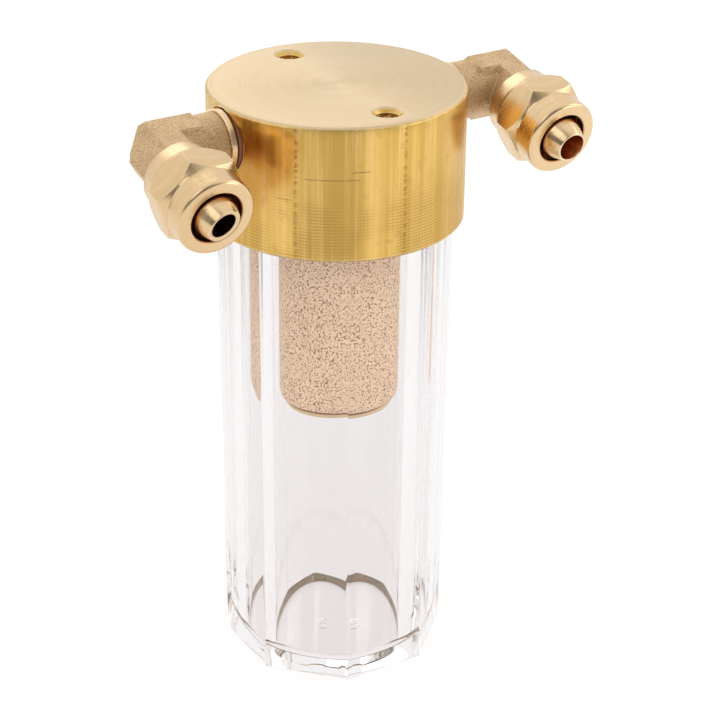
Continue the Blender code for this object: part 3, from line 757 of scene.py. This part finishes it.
def makeStud():
    low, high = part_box("element_stud")
    thin, thick, step = stud["thin"], stud["thick"], stud["step"]
    lower = evenly([(thin, low.z + 0.6 * mm), (thin, low.z + 12 * mm)], 0.15 * mm)
    upper = evenly([(thick, high.z - 6.5 * mm), (thick, high.z - 0.8 * mm)], 0.15 * mm)
    rod = turned("studRod", [(0, low.z), (thin - 0.6 * mm, low.z)] + lower
                 + [(thin, step), (thick, step + 1.2 * mm)] + upper
                 + [(thick - 0.8 * mm, high.z), (0, high.z)], 64)
    bore = turned("studBore", [(0, step - 2 * mm), (stud["bore"], step + 2 * mm),
                              (stud["bore"], high.z + mm), (0, high.z + mm)], 48)
    holes = [turned("crossHole", [(0, -9 * mm), (stud["crossHole"], -9 * mm), (stud["crossHole"], 9 * mm),
                                  (0, 9 * mm)], 36,
                    Matrix.Translation((0, 0, height)) @ Matrix.Rotation(turn, 4, "Z")
                    @ Matrix.Rotation(math.pi / 2, 4, "Y"))
             for height, turn in stud["crossHeights"]]
    obj = cutAndJoin(rod, cuts=[bore, *holes])
    for wall, start, end, pitch in ((thin, low.z + 0.4 * mm, low.z + 11.5 * mm, stud["lowPitch"]),
                                    (thick, high.z - 6.4 * mm, high.z - 0.9 * mm, stud["highPitch"])):
        throughTree(obj, threadForm, {"Wall Radius": wall, "Reach": 0.05 * mm, "Low": start, "High": end,
                                      "Pitch": pitch, "Depth": -0.5 * mm, "Material": capFinish})
    return piece(obj, "hollowStud", "body", capFinish, ["element_stud"])


def makeStudNut():
    low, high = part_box("stud_nut")
    n, flats = studNut, high.y - low.y
    corners = flats / math.cos(math.radians(30)) / 2
    lost = (corners - flats / 2 + n["soft"]) * math.tan(math.radians(30))
    obj = flatSided("studNutHexagon", 6, corners, corners, low.z, high.z)
    outline = turned("studNutOutline", [(0, low.z), (flats / 2 - n["soft"], low.z), (corners, low.z + lost),
                                        (corners, high.z - lost), (flats / 2 - n["soft"], high.z),
                                        (0, high.z)], 96)
    bore = turned("studNutBore", [(0, low.z - mm), (n["mouth"], low.z - n["soft"]),
                                  (n["bore"], low.z + n["lead"]), (n["bore"], high.z - n["lead"]),
                                  (n["mouth"], high.z + n["soft"]), (0, high.z + mm)], 64)
    cutAndJoin(obj, cuts=[bore], keep=outline)
    softEdges(obj, n["soft"])
    return piece(obj, "studNut", "stud_nut", capFinish, ["stud_nut"])


makeCap()
makeStud()
makeStudNut()
print("element group made")


# hose fittings

fitting = {"flat": 2.9 * mm, "halfHeight": 7.2 * mm, "halfWidth": 7.7 * mm, "cornerCut": 7.8 * mm,
           "portArm": 8.6 * mm, "hoseArm": 8.0 * mm, "boss": 6.9 * mm, "ring": 7.4 * mm, "bore": 3.1 * mm,
           "tailEnd": 30.4 * mm, "skin": 0.24 * mm, "grain": 0.5 * mm, "grainDepth": 0.06 * mm,
           "swell": 0.1 * mm, "tipSkew": math.radians(15)}
nut = {"flats": 19.0 * mm, "back": 8.8 * mm, "shoulder": 21.2 * mm, "front": 26.5 * mm, "collar": 9.2 * mm,
       "mouth": 6.15 * mm, "clock": {"left": math.radians(49), "right": math.radians(59)}}

forgedSettings = {"colour": (0.77, 0.54, 0.305), "deep": (0.64, 0.43, 0.225), "pale": (0.93, 0.69, 0.43),
                  "pit": (0.36, 0.22, 0.10), "bright": (0.97, 0.80, 0.54), "rough": 0.34, "grain": 0.0003,
                  "depth": 0.00014, "edge": 0.0004}
forged = forgedBrass("forgedElbowBrass", forgedSettings)
machined = {"colour": (0.84, 0.63, 0.38), "deep": (0.74, 0.53, 0.29), "stain": (0.62, 0.40, 0.18),
            "bright": (0.99, 0.88, 0.66), "rough": 0.17, "spread": 0.1, "pitch": 0.0003, "depth": 0.000012,
            "edge": 0.00035, "patch": 0.005, "tarnish": 0.35}


def fittingPlace(side):
    # the arms cross at the origin: the port arm runs along +X and the hose arm along -Y
    joint = joints["nut_left_turn" if side < 0 else "nut_right_turn"]
    hose = Vector(joint["axis"]).normalized()
    across = Vector((-side, 0, 0))
    up = across.cross(-hose)
    turn = Matrix((across, -hose, up)).transposed().to_4x4()
    return Matrix.Translation(joint["pos_m"]) @ turn


alongX = Matrix.Rotation(math.radians(90), 4, "Y")
alongHose = Matrix.Rotation(math.radians(90), 4, "X")


def mitredBend(f):
    section = [(f["flat"], f["halfHeight"]), (f["halfWidth"], 0), (f["flat"], -f["halfHeight"]),
               (-f["flat"], -f["halfHeight"]), (-f["halfWidth"], 0), (-f["flat"], f["halfHeight"])]
    bm = bmesh.new()
    reach = 3 * f["halfWidth"]
    rings = [[bm.verts.new({"port": (reach, out, up), "knee": (-out, out, up),
                            "hose": (-out, -reach, up)}[where])
              for out, up in section] for where in ("port", "knee", "hose")]
    for near, far in zip(rings, rings[1:]):
        for k in range(len(section)):
            bm.faces.new((near[k], near[k - 1], far[k - 1], far[k]))
    bm.faces.new(rings[0])
    bm.faces.new(rings[2])
    cut = f["cornerCut"]
    for point, normal in (((f["portArm"], 0, 0), (1, 0, 0)), ((0, -f["hoseArm"], 0), (0, -1, 0)),
                          ((-cut, 0, 0), (-1, 1, 0)), ((-cut * 0.93, 0, 0), (-1, 0.42, 0)),
                          ((0, cut * 0.93, 0), (-0.42, 1, 0))):
        done = bmesh.ops.bisect_plane(bm, geom=bm.verts[:] + bm.edges[:] + bm.faces[:], dist=1e-8,
                                      plane_co=point, plane_no=normal, clear_outer=True)
        rim = [e for e in done["geom_cut"] if isinstance(e, bmesh.types.BMEdge)]
        if rim:
            bmesh.ops.edgeloop_fill(bm, edges=rim)
    return cleaned(bm, "bend")


def makeForging(name, side, ringStart):
    f = fitting
    bend = mitredBend(f)
    boss = turned("boss", [(0, 0.7 * mm), (f["boss"], 0.7 * mm), (f["boss"], ringStart), (0, ringStart)],
                  96, alongX)
    shank = turned("shank", [(0, 5 * mm), (6.6 * mm, 5 * mm), (7.6 * mm, 8.5 * mm), (0, 8.5 * mm)], 96,
                   alongHose)
    bores = [turned("portBore", [(0, 0.2 * mm), (f["bore"], 0.2 * mm), (f["bore"], 30 * mm), (0, 30 * mm)],
                    40, alongX),
             turned("hoseBore", [(0, -2.5 * mm), (f["bore"], -1.0 * mm), (f["bore"], 40 * mm),
                                 (0, 40 * mm)], 40, alongHose)]
    obj = cutAndJoin(bend, adds=[boss, shank], cuts=bores)
    shell = obj.modifiers.new("forgingSkin", "REMESH")
    shell.mode, shell.voxel_size = "VOXEL", f["skin"]
    smooth = obj.modifiers.new("forgingRounds", "SMOOTH")
    smooth.factor, smooth.iterations = 0.5, 2
    settle(obj)
    throughTree(obj, grainSkin, {"Grain Size": f["grain"], "Grain Depth": f["grainDepth"],
                                 "Swell Size": 3.2 * mm, "Swell Depth": f["swell"], "Seed": 0.3 + side,
                                 "Material": forged})
    return piece(obj, name, "body", forged, ["elbow_left" if side < 0 else "elbow_right"],
                 fittingPlace(side), sharp=60)


def makeFitting(side, word):
    f, n = fitting, nut
    place = fittingPlace(side)
    ringEnd = abs(place.translation.x) - head["radius"]
    hoseAxis, portAxis = place @ alongHose, place @ alongX
    nutBrass = machinedBrass("nutBrass_" + word, hoseAxis, {**machined, "bore": n["mouth"] + 0.3 * mm})
    tailBrass = machinedBrass("tailBrass_" + word, hoseAxis,
                              {**machined, "rough": 0.1, "bore": f["bore"] + 0.22 * mm})
    ringBrass = machinedBrass("ringBrass_" + word, portAxis, {**machined, "rough": 0.12, "tarnish": 0.15})
    makeForging("forgedElbow_" + word, side, ringEnd - 1.5 * mm)
    low = ringEnd - 1.6 * mm
    tapped = evenly([(4.8 * mm, ringEnd + 0.4 * mm), (4.8 * mm, ringEnd + 8.6 * mm)], 0.15 * mm)
    ring = turned("portRing", [(f["bore"], low), (f["ring"] - 0.15 * mm, low), (f["ring"], low + 0.15 * mm),
                               (f["ring"], ringEnd - 0.25 * mm), (f["ring"] - 0.25 * mm, ringEnd),
                               (4.3 * mm, ringEnd)]
                  + tapped + [(4.2 * mm, ringEnd + 9.2 * mm), (f["bore"], ringEnd + 9.2 * mm)], 96)
    throughTree(ring, threadForm, {"Wall Radius": 4.8 * mm, "Reach": 0.05 * mm, "Low": ringEnd + 0.3 * mm,
                                   "High": ringEnd + 8.8 * mm, "Pitch": 0.907 * mm, "Depth": -0.45 * mm,
                                   "Material": ringBrass})
    piece(ring, "portRing_" + word, "body", ringBrass, ["elbow_" + word], portAxis)
    # hose tail: a threaded shank for the nut, then a polished barb
    thread = evenly([(7.7 * mm, 8.4 * mm), (7.7 * mm, 15.4 * mm)], 0.125 * mm)
    barb = arc(5.2 * mm - 0.35 * mm, 24.75 * mm, 0.35 * mm, 130, 0, 4) + [(5.2 * mm, 26.0 * mm)]
    tail = turned("hoseTail", [(f["bore"], 8.4 * mm)] + thread
                  + [(7.1 * mm, 16 * mm), (4.6 * mm, 16 * mm), (4.6 * mm, 24.0 * mm)]
                  + barb + [(5.12 * mm, 26.25 * mm), (3.75 * mm, f["tailEnd"] - 0.25 * mm),
                            (3.55 * mm, f["tailEnd"]), (f["bore"] + 0.15 * mm, f["tailEnd"]),
                            (f["bore"], f["tailEnd"] - 0.3 * mm)], 96)
    throughTree(tail, threadForm, {"Wall Radius": 7.7 * mm, "Reach": 0.05 * mm, "Low": 8.6 * mm,
                                   "High": 15.3 * mm, "Pitch": 1.0 * mm, "Depth": -0.5 * mm,
                                   "Material": tailBrass})
    if side < 0:          # the inlet's tail was parted off askew
        lean = Vector((0.71 * math.sin(f["tipSkew"]), -0.71 * math.sin(f["tipSkew"]),
                       math.cos(f["tipSkew"])))
        slant = lean.to_track_quat("Z", "Y").to_matrix().to_4x4()
        start = Matrix.Translation((-2.5 * mm, 2.5 * mm, f["tailEnd"] - 0.1 * mm)) @ slant
        cutAndJoin(tail, cuts=[flatSided("tipCut", 4, 20 * mm, 20 * mm, 0.0, 6 * mm, place=start)])
    piece(tail, "hoseTail_" + word, "body", tailBrass, ["elbow_" + word], hoseAxis)
    # union nut
    corners = n["flats"] / math.cos(math.radians(30)) / 2
    hexagon = flatSided("nutHexagon", 6, corners, corners, n["back"], n["shoulder"], n["clock"][word])
    outline = turned("nutOutline", [(0, n["back"]), (8.4 * mm, n["back"]), (8.7 * mm, 12.0 * mm),
                                    (9.4 * mm, 13.2 * mm), (corners, 15.4 * mm), (corners, 19.0 * mm),
                                    (9.5 * mm, 20.5 * mm), (9.1 * mm, n["shoulder"]), (0, n["shoulder"])],
                     144)
    cutAndJoin(hexagon, keep=outline)
    c = n["collar"]
    collar = turned("nutCollar", [(0, n["shoulder"] - 5 * mm), (c - 0.4 * mm, n["shoulder"] - 5 * mm),
                                  (c, n["shoulder"] - 0.4 * mm), (c, n["front"] - 1.0 * mm)]
                    + arc(c - 0.9 * mm, n["front"] - 0.9 * mm, 0.9 * mm, 0, 90, 5)
                    + [(0, n["front"])], 144)
    inside = turned("nutInside", [(0, n["back"] - mm), (8.0 * mm, n["back"] - mm), (8.0 * mm, 17.4 * mm),
                                  (n["mouth"], 20.4 * mm), (n["mouth"], n["front"] - 0.25 * mm),
                                  (n["mouth"] + 0.35 * mm, n["front"] + 0.1 * mm), (0, n["front"] + mm)],
                    128)
    cutAndJoin(hexagon, adds=[collar], cuts=[inside])
    softEdges(hexagon, 0.14 * mm, 2, 24)
    piece(hexagon, "unionNut_" + word, "nut_" + word, nutBrass, ["union_nut_" + word],
          hoseAxis, sharp=30)


makeFitting(-1, "left")
makeFitting(1, "right")
print("fittings made")


# seals, which keep their own solids

def sealFinish(name, colour, dark, rough, size):
    finish, tree, shader = newFinish(name, Metallic=0.0)
    marks = useGroup(tree, grain, Size=size, Detail=4.0)
    fine, patches = marks["Grain"], marks["Patches"]
    shade = blendColours(tree, times(tree, fine, 0.6), colour, dark)
    tree.links.new(blendColours(tree, times(tree, patches, 0.3), shade, dark), shader.inputs["Base Color"])
    tree.links.new(maths(tree, "MULTIPLY_ADD", fine, 0.15, rough), shader.inputs["Roughness"])
    raisedBy(tree, shader, fine, 0.00003)
    return finish


# the fibre brown is partly the seals' own colour and partly painted shade: at the ports it stands for the
# dark gap of shade round each spot-face
fibreAndPortShade = sealFinish("pressedFibreAndPortShade", (0.32, 0.12, 0.06), (0.16, 0.06, 0.03), 0.6, 0.0003)
rubber = sealFinish("blackRubber", (0.022, 0.022, 0.022), (0.045, 0.043, 0.04), 0.5, 0.0006)
for name, finish in (("port_seal_left", fibreAndPortShade), ("port_seal_right", fibreAndPortShade), ("element_gasket", fibreAndPortShade),
                     ("bowl_oring", rubber)):
    for k in range(max(1, len(frame["nodes"][name].material_slots))):
        frame["nodes"][name].data.materials[k] = finish
print("seals finished")


# floor, world and lights

studio = {"floor": (0.93, 0.93, 0.935), "floorSize": 3.0, "cameraSide": 0.22,
          "lights": (("keyLight", (-0.55, -0.35, 0.75), (0, 0, 0.1), 0.55, 1.0),
                     ("fillLight", (0.65, -0.25, 0.45), (0, 0, 0.1), 0.4, 0.45),
                     ("stripLight", (0.369, -0.473, 0.16), (0, 0, 0.12), 0.12, 0.25),
                     ("backLight", (0.1, 0.8, 0.7), (0, 0, 0.1), 0.6, 1.0))}


def makeStudio():
    bm = bmesh.new()
    bmesh.ops.create_grid(bm, x_segments=1, y_segments=1, size=studio["floorSize"])
    floor = cleaned(bm, "floor")
    floor.data.transform(Matrix.Translation((0, 0, -0.0002)))
    paint, tree, shader = newFinish("paleFloor", Roughness=0.9, Specular_IOR_Level=0.1)
    where = tree.nodes.new("ShaderNodeTexCoord").outputs["Object"]
    worn = tuple(c * 0.995 for c in studio["floor"])
    tree.links.new(blendColours(tree, noise(tree, where, 3.0), studio["floor"], worn),
                   shader.inputs["Base Color"])
    floor.data.materials.append(paint)
    world = bpy.data.worlds.new("studioWorld")
    bpy.context.scene.world = world
    world.use_nodes = True
    tree = world.node_tree
    background = tree.nodes["Background"]
    towards = Vector((-math.sin(math.radians(view["heading"])), -math.cos(math.radians(view["heading"])),
                      0.0))
    way = addNode(tree, "ShaderNodeTexCoord").outputs["Generated"]
    facing = addNode(tree, "ShaderNodeVectorMath", {0: way, 1: towards},
                     operation="DOT_PRODUCT").outputs["Value"]
    level = smoothStep(tree, facing, 0.1, 0.75, 1.0, studio["cameraSide"])
    # only reflections see the darker side of the studio
    path = tree.nodes.new("ShaderNodeLightPath")
    plain = maths(tree, "MAXIMUM", path.outputs["Is Camera Ray"], path.outputs["Is Diffuse Ray"])
    plain = maths(tree, "MAXIMUM", plain, times(tree, path.outputs["Is Transmission Ray"], 0.8))
    strength = addNode(tree, "ShaderNodeMix", {0: plain, 2: level, 3: 1.0})
    background.inputs["Color"].default_value = (1.0, 1.0, 1.0, 1.0)
    tree.links.new(strength.outputs[0], background.inputs["Strength"])
    for name, place, aim, size, power in studio["lights"]:
        data = bpy.data.lights.new(name, "AREA")
        data.shape, data.size, data.size_y, data.energy = "RECTANGLE", size, size, power
        light = bpy.data.objects.new(name, data)
        bpy.context.scene.collection.objects.link(light)
        light.location = place
        light.rotation_euler = (Vector(aim) - Vector(place)).to_track_quat("-Z", "Y").to_euler()
    bpy.context.scene.view_settings.view_transform = "Standard"
    cycles = bpy.context.scene.cycles          # thick clear plastic needs long light paths
    cycles.max_bounces, cycles.glossy_bounces, cycles.transmission_bounces = 24, 16, 24


makeStudio()
print("studio ready")
